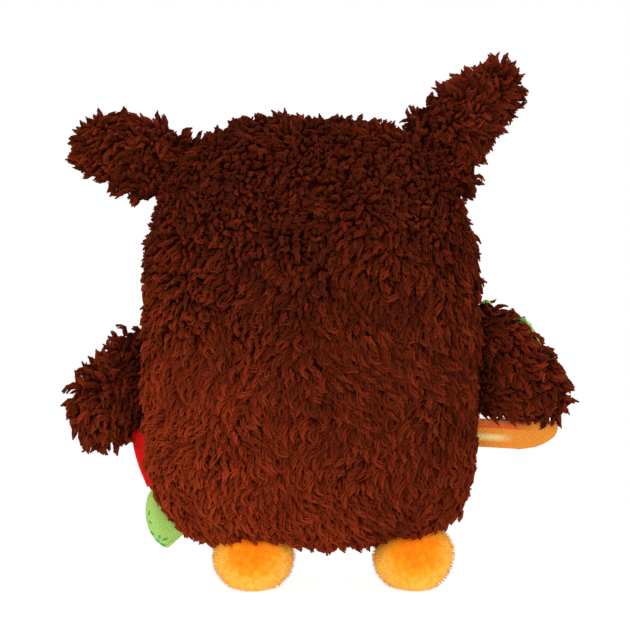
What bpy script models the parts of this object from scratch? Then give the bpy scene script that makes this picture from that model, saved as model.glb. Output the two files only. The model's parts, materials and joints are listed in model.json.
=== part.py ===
"""A stuffed plush owl of 25 cm: pillow body, floppy ears and wings, ball feet, leaf flap and ribbon loops.

Metres, +Z up. The owl faces -Y and stands on its soles at Z = 0. Its own left is at +X. All that is
sewn into the body's edge seam hangs on a hinge there: each hinge empty has its X axis outwards from
the seam, its Z axis along the seam and its Y axis to the owl's back.
"""

from math import acos, atan2, cos, hypot, pi, radians, sin

import bmesh
import bpy
from mathutils import Matrix, Vector
from mathutils.bvhtree import BVHTree

# Body, measured to the average tip of its pile
BODY_WIDTH = 0.159
BODY_HEIGHT = 0.200
BODY_DEPTH = 0.076
BODY_RISE = 0.021
CROWN_POWER = 3.0
BASE_POWER = 4.6
PILLOW_POWER = 2.5
SEAM_PINCH = 0.32
SEAM_PINCH_POWER = 20

# Tufts that the pile gathers into, with none at the seam or under what is sewn on in front
TUFT_PITCH = 0.026
TUFT_HEIGHT = 0.0017
TUFT_WANDER = 1.1
TUFT_WANDER_SHARES = (0.37, 0.43)
TUFT_SEAM_POWER = 1.6
TUFT_CALM_SHARE = 0.35

# Cloths and clearances
PLUSH_THICKNESS = 0.008
LIMB_PLUSH_THICKNESS = 0.006
LINING_THICKNESS = 0.001
VELOUR_THICKNESS = 0.0024
LEAF_PLY_THICKNESS = 0.0007
SEAM_GAP = 0.0003
FIT_GAP = 0.0003
CORE_GAP = 0.0005
APPLIQUE_GAP = 0.00045

# Seam beads: the rolled edge by which each limb is caught in the body's seam
EAR_BEAD_LENGTH = 0.022
WING_BEAD_LENGTH = 0.044
FOOT_BEAD_LENGTH = 0.016
LEAF_BEAD_LENGTH = 0.012
LIMB_BEAD_RADIUS = 0.0020
FOOT_BEAD_RADIUS = 0.0036
LEAF_BEAD_RADIUS = 0.0013
BEAD_SINK_SHARE = 0.25

# Where each limb leaves the seam, as an angle above the horizontal with the body drawn square
LEFT_EAR_ANGLE = radians(42.30)
RIGHT_EAR_ANGLE = radians(47.47)
LEFT_WING_ANGLE = radians(-12.43)
RIGHT_WING_ANGLE = radians(-7.98)
LEFT_FOOT_ANGLE = radians(-71.62)
RIGHT_FOOT_ANGLE = radians(-59.15)
LEAF_ANGLE = radians(-43.95)
LABEL_ANGLE = radians(-31.52)
RIBBON_ANGLE = radians(-25.45)

# Ears
LEFT_EAR_LENGTH = 0.0462
RIGHT_EAR_LENGTH = 0.0532
LEFT_EAR_WIDTH = 0.0424
RIGHT_EAR_WIDTH = 0.0436
LEFT_EAR_LEAN = -0.0123
RIGHT_EAR_LEAN = 0.0073
EAR_DEPTH = 0.025

# Wings: plush behind, printed cotton lining in front
LEFT_WING_LENGTH = 0.0385
RIGHT_WING_LENGTH = 0.0452
LEFT_WING_WIDTH = 0.0505
RIGHT_WING_WIDTH = 0.0548
LEFT_WING_LEAN = -0.0146
RIGHT_WING_LEAN = -0.0136
WING_PLUSH_DEPTH = 0.0105
WING_LINING_DEPTH = 0.0042

# Feet
FOOT_WIDTH = 0.0376
FOOT_HEEL_DEPTH = 0.0160
FOOT_TOE_DEPTH = 0.0215
FOOT_TOP_GAP = 0.0016
SOLE_CUT = 0.0005

# Leaf flap of two cotton plies
LEAF_LENGTH = 0.0100
LEAF_WIDTH = 0.0232
LEAF_LEAN = -0.0050
LEAF_DEPTH = 0.0038

# Folded loops of ribbon in the side seams
LABEL_WIDTH = 0.0230
LABEL_REACH = 0.0058
LABEL_PLY = 0.0004
LABEL_SPREAD = 0.0007
RIBBON_WIDTH = 0.0112
RIBBON_REACH = 0.0360
RIBBON_PLY = 0.0006
RIBBON_SPREAD = 0.0017

# Face and belly, their places and widths as shares of the body's width and height
EYE_WIDTH_SHARE = 0.29
EYE_SPACING_SHARE = 0.34
EYE_RISE_SHARE = 0.23
EYE_THICKNESS = 0.0020
IRIS_WIDTH_SHARE = 0.17
IRIS_THICKNESS = 0.0012
PUPIL_WIDTH_SHARE = 0.094
PUPIL_THICKNESS = 0.0012
BEAK_WIDTH_SHARE = 0.15
BEAK_HEIGHT_SHARE = 0.135
BEAK_THICKNESS = 0.012
BEAK_RISE_SHARE = 0.10
BEAK_TAPER_SHARE = 0.5
BELLY_WIDTH_SHARE = 0.654
BELLY_HEIGHT_SHARE = 0.43
BELLY_DROP_SHARE = 0.20
BELLY_THICKNESS = 0.0012

# Rows of each form from root to tip: place along it, width, lean to one side and depth, as shares
LEFT_EAR_SHARES = (
    (0.00, 0.00, 0.00, 0.00),
    (0.05, 0.97, 0.10, 0.09),
    (0.24, 1.00, 0.24, 0.80),
    (0.45, 0.95, 0.46, 1.00),
    (0.64, 0.86, 0.70, 1.00),
    (0.80, 0.74, 0.92, 0.90),
    (0.97, 0.50, 1.00, 0.62),
    (1.01, 0.00, 0.85, 0.00),
)
RIGHT_EAR_SHARES = (
    (0.00, 0.00, 0.00, 0.00),
    (0.05, 1.00, 0.10, 0.09),
    (0.24, 0.96, 0.32, 0.80),
    (0.44, 0.85, 0.66, 1.00),
    (0.62, 0.73, 0.76, 1.00),
    (0.78, 0.62, 0.93, 0.92),
    (0.97, 0.50, 1.00, 0.66),
    (1.01, 0.00, 0.95, 0.00),
)
LEFT_WING_SHARES = (
    (0.00, 0.00, 0.00, 0.00),
    (0.06, 0.97, 0.15, 0.09),
    (0.27, 1.01, 0.40, 0.66),
    (0.48, 0.92, 0.69, 1.00),
    (0.67, 0.78, 0.93, 1.00),
    (0.84, 0.60, 1.02, 0.86),
    (0.98, 0.36, 0.98, 0.50),
    (1.01, 0.00, 0.97, 0.00),
)
RIGHT_WING_SHARES = (
    (0.00, 0.00, 0.00, 0.00),
    (0.05, 1.00, 0.00, 0.09),
    (0.23, 0.97, 0.10, 0.68),
    (0.42, 0.89, 0.26, 1.00),
    (0.62, 0.75, 0.50, 1.00),
    (0.81, 0.58, 0.81, 0.88),
    (0.98, 0.34, 1.02, 0.50),
    (1.01, 0.00, 1.03, 0.00),
)
FOOT_SHARES = (
    (0.00, 0.00, 0.00, 0.00),
    (0.01, 0.74, 0.00, 0.40),
    (0.17, 1.00, 0.00, 0.82),
    (0.40, 1.02, 0.00, 0.98),
    (0.66, 0.91, 0.00, 1.06),
    (0.90, 0.66, 0.00, 1.04),
    (1.02, 0.36, 0.00, 0.90),
    (1.02, 0.00, 0.00, 0.00),
)
LEAF_SHARES = (
    (0.00, 0.00, 0.00, 0.00),
    (0.08, 1.00, 0.36, 0.50),
    (0.30, 0.98, 0.50, 0.90),
    (0.56, 0.86, 0.78, 1.00),
    (0.82, 0.64, 0.96, 0.90),
    (1.01, 0.34, 1.00, 0.60),
    (1.01, 0.00, 1.00, 0.00),
)
# Reach of a folded loop from its lower to its upper edge, as shares of its full reach
LABEL_REACH_SHARES = (0.24, 0.50, 0.76, 1.00)
RIBBON_REACH_SHARES = (0.50, 0.76, 0.90, 0.97, 1.00)

# Where a limb's stuffing begins, as a share of the limb's length
LIMB_CORE_SHARE = 0.30
FOOT_CORE_SHARE = 0.12
LEAF_CORE_SHARE = 0.22

BODY_AROUND = 24
BODY_ROWS = 8
PANEL_RINGS = 18
RING_CROWDING = 0.36
LIMB_AROUND = 10
CORE_AROUND = 10
CORE_ROWS = 6
APPLIQUE_AROUND = 20
APPLIQUE_ROWS = 6
APPLIQUE_POWER = 0.7
BELLY_ROWS = 16
BEAD_SIDES = 14
BEND_STEPS = 6
OVERRUN = 0.05

COLOURS = {
    "brown_plush": (0.165, 0.037, 0.014, 0.95),
    "polyester_fibre": (0.86, 0.86, 0.84, 0.95),
    "green_print": (0.33, 0.53, 0.12, 0.85),
    "orange_velour": (1.00, 0.31, 0.01, 0.90),
    "orange_twill": (0.83, 0.30, 0.04, 0.80),
    "red_satin": (0.70, 0.02, 0.02, 0.45),
    "cream_felt": (0.84, 0.78, 0.62, 0.92),
    "orange_felt": (0.85, 0.28, 0.03, 0.92),
    "dark_felt": (0.02, 0.012, 0.01, 0.90),
}


def clear_scene():
    for obj in list(bpy.data.objects):
        bpy.data.objects.remove(obj)


def new_collection(name):
    collection = bpy.data.collections.new(name)
    bpy.context.scene.collection.children.link(collection)
    return collection


def cloth(name):
    """The material of one cloth, made once and shared."""
    if name in bpy.data.materials:
        return bpy.data.materials[name]
    red, green, blue, roughness = COLOURS[name]
    material = bpy.data.materials.new(name)
    material.use_nodes = True
    shader = material.node_tree.nodes["Principled BSDF"]
    shader.inputs["Base Color"].default_value = (red, green, blue, 1.0)
    shader.inputs["Roughness"].default_value = roughness
    shader.inputs["Metallic"].default_value = 0.0
    return material


def place(name, bm, parent, material=None):
    """Makes an object of the mesh. One with no material is a cutter or a guide."""
    if bm.calc_volume(signed=True) < 0:
        bmesh.ops.reverse_faces(bm, faces=bm.faces)
    mesh = bpy.data.meshes.new(name)
    bm.to_mesh(mesh)
    bm.free()
    mesh.shade_smooth()
    obj = bpy.data.objects.new(name, mesh)
    obj.parent = parent
    if material:
        mesh.materials.append(cloth(material))
        parts.objects.link(obj)
    else:
        obj.hide_render = True
        obj.display_type = "WIRE"
        cutters.objects.link(obj)
    return obj


def empty(name, parent=None):
    obj = bpy.data.objects.new(name, None)
    obj.parent = parent
    parts.objects.link(obj)
    return obj


def subdivide(obj):
    modifier = obj.modifiers.new("rounding", "SUBSURF")
    modifier.levels = 1
    modifier.render_levels = 1


def boolean(obj, operation, other):
    modifier = obj.modifiers.new(f"{operation.lower()} {other.name}", "BOOLEAN")
    modifier.operation = operation
    modifier.solver = "EXACT"
    if isinstance(other, bpy.types.Collection):
        modifier.operand_type = "COLLECTION"
        modifier.collection = other
    else:
        modifier.object = other


def signed_power(value, power):
    return abs(value) ** power * (1 if value > 0 else -1)


def swell(around):
    """How much wider a cage of so many sides is than the round form that subdivision draws in it."""
    return 6 / (4 + 2 * cos(2 * pi / around))


def seam_power(angle):
    return CROWN_POWER if sin(angle) > 0 else BASE_POWER


def seam_point(angle, width, height):
    """A point of an outline of this width and height, at an angle taken with the outline drawn square."""
    power = seam_power(angle)
    reach = (abs(cos(angle)) ** power + abs(sin(angle)) ** power) ** (-1 / power)
    return reach * cos(angle) * width / 2, reach * sin(angle) * height / 2


def pillow_point(unit, inset):
    """A point of the unit ball moved onto the body's pillow form, drawn in by the inset."""
    width = BODY_WIDTH - 2 * inset
    height = BODY_HEIGHT - 2 * inset
    depth = BODY_DEPTH - 2 * inset
    ring_share = hypot(unit.x, unit.y) ** (2 / PILLOW_POWER)
    x, z = seam_point(atan2(unit.y, unit.x), width, height)
    deep = depth / 2 * signed_power(unit.z, 2 / PILLOW_POWER)
    return Vector((x * ring_share, -deep, z * ring_share + BODY_CENTRE))


def ball(point, around, rows):
    """A ball of so many sides and rows, each of its points moved by the given rule."""
    bm = bmesh.new()
    bmesh.ops.create_uvsphere(bm, u_segments=around, v_segments=rows, radius=1)
    for vert in bm.verts:
        vert.co = point(vert.co.normalized())
    return bm


def sewn_in_front():
    """Name, place, size, thickness and cloth of each piece sewn on the front panel, lowest first."""
    eye_rise = BODY_CENTRE + BODY_HEIGHT * EYE_RISE_SHARE
    pieces = []
    for side_name, side in (("left", 1), ("right", -1)):
        level = 0
        for layer, share, thickness, material in (
            ("eye_disc", EYE_WIDTH_SHARE, EYE_THICKNESS, "cream_felt"),
            ("iris", IRIS_WIDTH_SHARE, IRIS_THICKNESS, "orange_felt"),
            ("pupil", PUPIL_WIDTH_SHARE, PUPIL_THICKNESS, "dark_felt"),
        ):
            spot = (side * BODY_WIDTH * EYE_SPACING_SHARE / 2, eye_rise)
            size = (BODY_WIDTH * share, BODY_WIDTH * share)
            pieces.append((f"{side_name}_{layer}", spot, size, thickness, level, material))
            level += thickness + APPLIQUE_GAP
    beak_spot = (0, BODY_CENTRE + BODY_HEIGHT * BEAK_RISE_SHARE)
    beak_size = (BODY_WIDTH * BEAK_WIDTH_SHARE, BODY_HEIGHT * BEAK_HEIGHT_SHARE)
    pieces.append(("beak", beak_spot, beak_size, BEAK_THICKNESS, 0, "orange_velour"))
    belly_spot = (0, BODY_CENTRE - BODY_HEIGHT * BELLY_DROP_SHARE)
    belly_size = (BODY_WIDTH * BELLY_WIDTH_SHARE, BODY_HEIGHT * BELLY_HEIGHT_SHARE)
    pieces.append(("belly_patch", belly_spot, belly_size, BELLY_THICKNESS, 0, "green_print"))
    return pieces


def loose_share(point):
    """How free the pile is at a place: none under the pieces in front, all of it behind."""
    free = 1
    if point.y < 0:
        for name, (x, z), (width, height), *rest in sewn_in_front():
            wide = width * (1 + BEAK_TAPER_SHARE) if name == "beak" else width
            away = hypot((point.x - x) / (wide / 2), (point.z - z) / (height / 2))
            free = min(free, max(0, (away - 1 - TUFT_CALM_SHARE / 2) / TUFT_CALM_SHARE))
    return free


def pillow_depth(ring_share):
    """Half the pillow's depth at a share of the way from its middle to its seam, which pinches it."""
    round_share = max(0, 1 - ring_share**PILLOW_POWER) ** (1 / PILLOW_POWER)
    return BODY_DEPTH / 2 * round_share * (1 - SEAM_PINCH * ring_share**SEAM_PINCH_POWER)


def ring_shares():
    """Rings of the panels' grid, closer toward the seam, which draws the last one in."""
    steps = [ring / PANEL_RINGS for ring in range(PANEL_RINGS + 1)]
    return [(1 - RING_CROWDING) * step + RING_CROWDING * sin(pi / 2 * step) for step in steps]


def tufted_point(column, row, side, rings):
    """A point of one panel's square grid on the pillow form, with the tufts of its pile."""
    ring_share = rings[max(abs(column), abs(row))]
    x, z = seam_point(atan2(row, column), BODY_WIDTH, BODY_HEIGHT)
    point = Vector((x * ring_share, side * pillow_depth(ring_share), z * ring_share))
    slope = Vector((point.x / BODY_WIDTH**2, point.y / BODY_DEPTH**2, point.z / BODY_HEIGHT**2))
    point.z += BODY_CENTRE
    across, up = 2 * pi * point.x / TUFT_PITCH, 2 * pi * point.z / TUFT_PITCH
    wander_across = TUFT_WANDER * sin(up * TUFT_WANDER_SHARES[0])
    wander_up = TUFT_WANDER * sin(across * TUFT_WANDER_SHARES[1])
    rise = TUFT_HEIGHT * sin(across + wander_across) * cos(up + wander_up)
    calm = 1 - ring_share**TUFT_SEAM_POWER
    return point + slope.normalized() * rise * calm * loose_share(point)


def tufted_pillow():
    """Both panels' outside as one closed form: a square grid behind, one in front, joined at the seam."""
    rings = ring_shares()
    bm = bmesh.new()
    seam = {}
    span = range(-PANEL_RINGS, PANEL_RINGS + 1)
    for side in (1, -1):
        grid = {}
        for column in span:
            for row in span:
                if max(abs(column), abs(row)) == PANEL_RINGS:
                    if (column, row) not in seam:
                        seam[column, row] = bm.verts.new(tufted_point(column, row, side, rings))
                    grid[column, row] = seam[column, row]
                else:
                    grid[column, row] = bm.verts.new(tufted_point(column, row, side, rings))
        for column in span[:-1]:
            for row in span[:-1]:
                corners = [(column, row), (column + 1, row), (column + 1, row + 1), (column, row + 1)]
                if (column < 0) != (row < 0):
                    corners = corners[1:] + corners[:1]
                for picked in ((0, 1, 2), (0, 2, 3)):
                    bm.faces.new([grid[corners[corner]] for corner in picked[::side]])
    return bm


def body_form(name, inset, material=None):
    return place(name, ball(lambda unit: pillow_point(unit, inset), BODY_AROUND, BODY_ROWS), owl, material)


def seam_hinge(name, side, angle, sink):
    """An empty on the body's edge seam, sunk by so much, with X outwards and Z along the seam."""
    x, z = seam_point(angle, BODY_WIDTH, BODY_HEIGHT)
    power = seam_power(angle)
    slope = Vector(
        (
            signed_power(x / BODY_WIDTH, power - 1) / BODY_WIDTH,
            0,
            signed_power(z / BODY_HEIGHT, power - 1) / BODY_HEIGHT,
        )
    )
    outward = slope.normalized()
    spot = Vector((x, 0, z)) - outward * sink
    outward.x *= side
    spot.x *= side
    back = Vector((0, 1, 0))
    along = outward.cross(back)
    hinge = empty(name, owl)
    turn = Matrix((outward, back, along)).transposed()
    hinge.location = spot + Vector((0, 0, BODY_CENTRE))
    hinge.rotation_euler = turn.to_euler()
    return hinge


def row_at(rows, station_share):
    """Width, lean and depth shares of a limb at one place along it, read between its rows."""
    for (low, *before), (high, *after) in zip(rows, rows[1:]):
        if low <= station_share <= high and high > low:
            share = (station_share - low) / (high - low)
            return [a + (b - a) * share for a, b in zip(before, after)]
    return rows[-2][1:]


def limb_point(unit, limb, scale):
    """A point of the unit ball moved onto the limb, whose rows follow the ball's rows from pole to pole."""
    rows = limb["rows"]
    station_share, width_share, lean_share, depth_share = rows[
        round(acos(max(-1, min(1, unit.z))) / pi * (len(rows) - 1))
    ]
    turn = atan2(unit.y, unit.x)
    depth = limb["back"] if unit.y > 0 else limb["front"]
    return Vector(
        (
            limb["start"] + limb["length"] * station_share,
            depth * depth_share * scale * sin(turn),
            limb["side"] * (limb["lean"] * lean_share + limb["width"] / 2 * width_share * scale * cos(turn)),
        )
    )


def core_point(unit, limb, gap):
    """A point of the unit ball moved onto the limb's stuffing, inside its cloths."""
    inset = limb["back_cloth"] + gap
    low = limb["length"] * limb["core_share"] + gap
    high = limb["length"] - inset
    station = low + (high - low) * (1 - unit.z) / 2
    width_share, lean_share, depth_share = row_at(limb["rows"], station / limb["length"])
    depth, skin = limb["back"], inset
    if unit.y < 0:
        depth, skin = limb["front"], limb["front_cloth"] + gap
    return Vector(
        (
            limb["start"] + station,
            (depth * depth_share - skin) * unit.y,
            limb["side"] * (limb["lean"] * lean_share + (limb["width"] / 2 * width_share - inset) * unit.x),
        )
    )


def bead(name, hinge, radius, length):
    """A round bar along a hinge's Z axis."""
    bm = bmesh.new()
    bmesh.ops.create_cone(
        bm, cap_ends=True, segments=BEAD_SIDES, radius1=radius, radius2=radius, depth=length
    )
    # No corner lies in the seam plane, where the limb's own corners are
    bmesh.ops.rotate(bm, matrix=Matrix.Rotation(pi / BEAD_SIDES / 2, 3, "Z"), verts=bm.verts)
    return place(name, bm, hinge)


def limb_hinge(name, side, angle, bead_radius, bead_length):
    """The hinge and bead of a limb, and the groove that the bead leaves in the body's seam."""
    hinge = seam_hinge(f"{name}_hinge", side, angle, bead_radius * BEAD_SINK_SHARE)
    roll = bead(f"{name}_bead", hinge, bead_radius, bead_length)
    groove = bead(f"{name}_groove", hinge, bead_radius + FIT_GAP, bead_length + 2 * FIT_GAP)
    body_cuts.objects.link(groove)
    return hinge, roll


def half_space(name, direction):
    """A box over everything on one side of the seam plane, half the seam's gap off it."""
    bm = bmesh.new()
    bmesh.ops.create_cube(bm, size=1)
    size = 2 * (BODY_HEIGHT + BODY_RISE)
    bmesh.ops.scale(bm, vec=(size, size, size), verts=bm.verts)
    offset = direction * (size + SEAM_GAP) / 2
    bmesh.ops.translate(bm, vec=(0, offset, BODY_CENTRE), verts=bm.verts)
    return place(name, bm, owl)


def floor_block():
    """A box over everything below the floor."""
    bm = bmesh.new()
    bmesh.ops.create_cube(bm, size=1)
    size = 2 * BODY_HEIGHT
    bmesh.ops.scale(bm, vec=(size, size, OVERRUN), verts=bm.verts)
    bmesh.ops.translate(bm, vec=(0, 0, -OVERRUN / 2), verts=bm.verts)
    return place("floor_cut", bm, owl)


def stuffed_limb(name, limb, cloths):
    """A limb of two cloths that meet in the seam plane, over its stuffing."""
    hinge, roll = limb["hinge"], limb["bead"]
    scale = swell(LIMB_AROUND)
    cavity = place(f"{name}_cavity", ball(lambda unit: core_point(unit, limb, 0), CORE_AROUND, CORE_ROWS), hinge)
    fitted = ball(lambda unit: core_point(unit, limb, CORE_GAP), CORE_AROUND, CORE_ROWS)
    place(f"{name}_{cloths['core_name']}", fitted, hinge, "polyester_fibre")
    for half, space in (("back", behind), ("front", ahead)):
        shape = ball(lambda unit: limb_point(unit, limb, scale), LIMB_AROUND, len(limb["rows"]) - 1)
        cover = place(f"{name}_{cloths[half + '_name']}", shape, hinge, cloths[half])
        subdivide(cover)
        boolean(cover, "UNION", roll)
        boolean(cover, "DIFFERENCE", cavity)
        if limb.get("stands"):
            boolean(cover, "DIFFERENCE", floor)
        boolean(cover, "INTERSECT", space)


def ear(name, side, angle, length, width, lean, rows):
    hinge, roll = limb_hinge(name, side, angle, LIMB_BEAD_RADIUS, EAR_BEAD_LENGTH)
    limb = {
        "hinge": hinge,
        "bead": roll,
        "side": side,
        "start": LIMB_BEAD_RADIUS * BEAD_SINK_SHARE,
        "length": length,
        "width": width,
        "lean": lean,
        "back": EAR_DEPTH / 2,
        "front": EAR_DEPTH / 2,
        "back_cloth": LIMB_PLUSH_THICKNESS,
        "front_cloth": LIMB_PLUSH_THICKNESS,
        "core_share": LIMB_CORE_SHARE,
        "rows": rows,
    }
    cloths = {
        "back": "brown_plush",
        "front": "brown_plush",
        "back_name": "back_cover",
        "front_name": "front_cover",
        "core_name": "filling",
    }
    stuffed_limb(name, limb, cloths)


def wing(name, side, angle, length, width, lean, rows):
    hinge, roll = limb_hinge(name, side, angle, LIMB_BEAD_RADIUS, WING_BEAD_LENGTH)
    limb = {
        "hinge": hinge,
        "bead": roll,
        "side": side,
        "start": LIMB_BEAD_RADIUS * BEAD_SINK_SHARE,
        "length": length,
        "width": width,
        "lean": lean,
        "back": WING_PLUSH_DEPTH,
        "front": WING_LINING_DEPTH,
        "back_cloth": LIMB_PLUSH_THICKNESS,
        "front_cloth": LINING_THICKNESS,
        "core_share": LIMB_CORE_SHARE,
        "rows": rows,
    }
    cloths = {
        "back": "brown_plush",
        "front": "green_print",
        "back_name": "plush_back",
        "front_name": "printed_lining",
        "core_name": "wadding",
    }
    stuffed_limb(name, limb, cloths)


def foot(name, side, angle):
    """A ball foot, long enough from its seam to be cut flat on the floor."""
    hinge, roll = limb_hinge(name, side, angle, FOOT_BEAD_RADIUS, FOOT_BEAD_LENGTH)
    outward = hinge.rotation_euler.to_matrix().col[0]
    drop = hinge.location.z + SOLE_CUT
    # The lowest point of a tilted ball lies below the end of its tilted axis
    tilt = abs(outward.x)
    lift = hypot(drop / 2, FOOT_WIDTH / 2 * tilt) - drop / 2
    limb = {
        "hinge": hinge,
        "bead": roll,
        "side": side,
        "start": FOOT_BEAD_RADIUS * BEAD_SINK_SHARE + FOOT_TOP_GAP,
        "width": FOOT_WIDTH,
        "lean": 0,
        "back": FOOT_HEEL_DEPTH,
        "front": FOOT_TOE_DEPTH,
        "back_cloth": VELOUR_THICKNESS,
        "front_cloth": VELOUR_THICKNESS,
        "core_share": FOOT_CORE_SHARE,
        "rows": FOOT_SHARES,
        "stands": True,
    }
    limb["length"] = (drop - lift) / -outward.z - limb["start"]
    cloths = {
        "back": "orange_velour",
        "front": "orange_velour",
        "back_name": "heel_cover",
        "front_name": "toe_cover",
        "core_name": "filling",
    }
    stuffed_limb(name, limb, cloths)


def leaf(name, side):
    hinge, roll = limb_hinge(name, side, LEAF_ANGLE, LEAF_BEAD_RADIUS, LEAF_BEAD_LENGTH)
    limb = {
        "hinge": hinge,
        "bead": roll,
        "side": side,
        "start": LEAF_BEAD_RADIUS * BEAD_SINK_SHARE,
        "length": LEAF_LENGTH,
        "width": LEAF_WIDTH,
        "lean": LEAF_LEAN,
        "back": LEAF_DEPTH / 2,
        "front": LEAF_DEPTH / 2,
        "back_cloth": LEAF_PLY_THICKNESS,
        "front_cloth": LEAF_PLY_THICKNESS,
        "core_share": LEAF_CORE_SHARE,
        "rows": LEAF_SHARES,
    }
    cloths = {
        "back": "green_print",
        "front": "green_print",
        "back_name": "back_ply",
        "front_name": "front_ply",
        "core_name": "wadding",
    }
    stuffed_limb(name, limb, cloths)


def loop_path(reach, spread):
    """Half the fold seen along the seam: out along one ply and half round the bend."""
    bend = spread / 2
    points = [(0, bend), (reach - bend, bend)]
    for step in range(1, BEND_STEPS):
        angle = pi / 2 - pi * step / BEND_STEPS
        points.append((reach - bend + bend * cos(angle), bend * sin(angle)))
    points += [(reach - bend, -bend), (0, -bend)]
    return points


def folded_loop(name, side, angle, width, reach, ply, spread, reach_shares, material):
    """A ribbon folded in half, its two ends caught in the seam: a bent open sheet made solid."""
    radius = spread / 2 + ply
    hinge, roll = limb_hinge(name, side, angle, radius, width)
    bm = bmesh.new()
    rows = []
    for index, share in enumerate(reach_shares):
        height = width * (index / (len(reach_shares) - 1) - 1 / 2)
        path = loop_path(radius * BEAD_SINK_SHARE + reach * share, spread)
        rows.append([bm.verts.new((x, y, side * height)) for x, y in path])
    for low, high in zip(rows, rows[1:]):
        for corner in range(len(low) - 1):
            bm.faces.new((low[corner], low[corner + 1], high[corner + 1], high[corner]))
    obj = place(name, bm, hinge, material)
    sheet = obj.modifiers.new("ply", "SOLIDIFY")
    sheet.thickness = ply
    sheet.offset = 0
    boolean(obj, "UNION", roll)
    return obj


def applique(name, spot, size, thickness, below, material, taper_share=0, rows=APPLIQUE_ROWS):
    """A flat padded piece laid on the front panel, over what is already below it there."""
    width, height = size

    def draped(unit):
        ring_share = hypot(unit.x, unit.y) ** APPLIQUE_POWER
        angle = atan2(unit.y, unit.x)
        high = sin(angle) * ring_share
        x = spot[0] + width / 2 * cos(angle) * ring_share * (1 + taper_share * high)
        z = spot[1] + height / 2 * high
        ray = Vector((x, -BODY_DEPTH, z))
        surface = panel_tree.ray_cast(ray, Vector((0, 1, 0)))[0]
        lift = below + APPLIQUE_GAP + thickness * (1 + unit.z) / 2
        return surface - Vector((0, lift, 0))

    return place(name, ball(draped, APPLIQUE_AROUND, rows), owl, material)


def centre_on_floor():
    """Moves the owl sideways until the middle of its box is over the origin."""
    bpy.context.view_layer.update()
    graph = bpy.context.evaluated_depsgraph_get()
    corners = []
    for obj in parts.objects:
        if obj.type == "MESH":
            evaluated = obj.evaluated_get(graph)
            corners += [evaluated.matrix_world @ Vector(corner) for corner in evaluated.bound_box]
    for axis in (0, 1):
        values = [corner[axis] for corner in corners]
        owl.location[axis] = -(min(values) + max(values)) / 2


BODY_CENTRE = BODY_RISE + BODY_HEIGHT / 2

clear_scene()
parts = new_collection("plush_owl")
cutters = new_collection("cutters")
body_cuts = new_collection("body_cuts")
owl = empty("owl")

behind = half_space("behind_the_seam", 1)
ahead = half_space("ahead_of_the_seam", -1)
floor = floor_block()

# Limbs, which also leave their grooves in the body's seam
ear("left_ear", 1, LEFT_EAR_ANGLE, LEFT_EAR_LENGTH, LEFT_EAR_WIDTH, LEFT_EAR_LEAN, LEFT_EAR_SHARES)
ear("right_ear", -1, RIGHT_EAR_ANGLE, RIGHT_EAR_LENGTH, RIGHT_EAR_WIDTH, RIGHT_EAR_LEAN, RIGHT_EAR_SHARES)
wing("left_wing", 1, LEFT_WING_ANGLE, LEFT_WING_LENGTH, LEFT_WING_WIDTH, LEFT_WING_LEAN, LEFT_WING_SHARES)
wing(
    "right_wing", -1, RIGHT_WING_ANGLE, RIGHT_WING_LENGTH, RIGHT_WING_WIDTH, RIGHT_WING_LEAN, RIGHT_WING_SHARES
)
foot("left_foot", 1, LEFT_FOOT_ANGLE)
foot("right_foot", -1, RIGHT_FOOT_ANGLE)
leaf("leaf", 1)
folded_loop(
    "label_loop",
    1,
    LABEL_ANGLE,
    LABEL_WIDTH,
    LABEL_REACH,
    LABEL_PLY,
    LABEL_SPREAD,
    LABEL_REACH_SHARES,
    "red_satin",
)
folded_loop(
    "ribbon_loop",
    -1,
    RIBBON_ANGLE,
    RIBBON_WIDTH,
    RIBBON_REACH,
    RIBBON_PLY,
    RIBBON_SPREAD,
    RIBBON_REACH_SHARES,
    "orange_twill",
)

# Body: two panels that meet in the edge seam, over the filling
body_cuts.objects.link(body_form("body_cavity", PLUSH_THICKNESS))
body_form("body_filling", PLUSH_THICKNESS + FIT_GAP, "polyester_fibre")
for panel_name, space in (("back_panel", behind), ("front_panel", ahead)):
    panel = place(panel_name, tufted_pillow(), owl, "brown_plush")
    boolean(panel, "DIFFERENCE", body_cuts)
    boolean(panel, "INTERSECT", space)

# Face and belly, laid on the front panel
bpy.context.view_layer.update()
front_panel = bpy.data.objects["front_panel"]
panel_tree = BVHTree.FromObject(front_panel, bpy.context.evaluated_depsgraph_get())
for name, spot, size, thickness, level, material in sewn_in_front():
    rows = BELLY_ROWS if name == "belly_patch" else APPLIQUE_ROWS
    taper_share = BEAK_TAPER_SHARE if name == "beak" else 0
    applique(name, spot, size, thickness, level, material, taper_share, rows)
centre_on_floor()
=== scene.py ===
"""The plush owl dressed in its cloths: curly pile, velour, printed cotton, ribbons and felt."""

import json
from functools import partial
from math import cos, exp, hypot, pi, radians, sin

import bmesh
import bpy
import numpy as np
from mathutils import Matrix, Vector, noise
from mathutils.bvhtree import BVHTree


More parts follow.
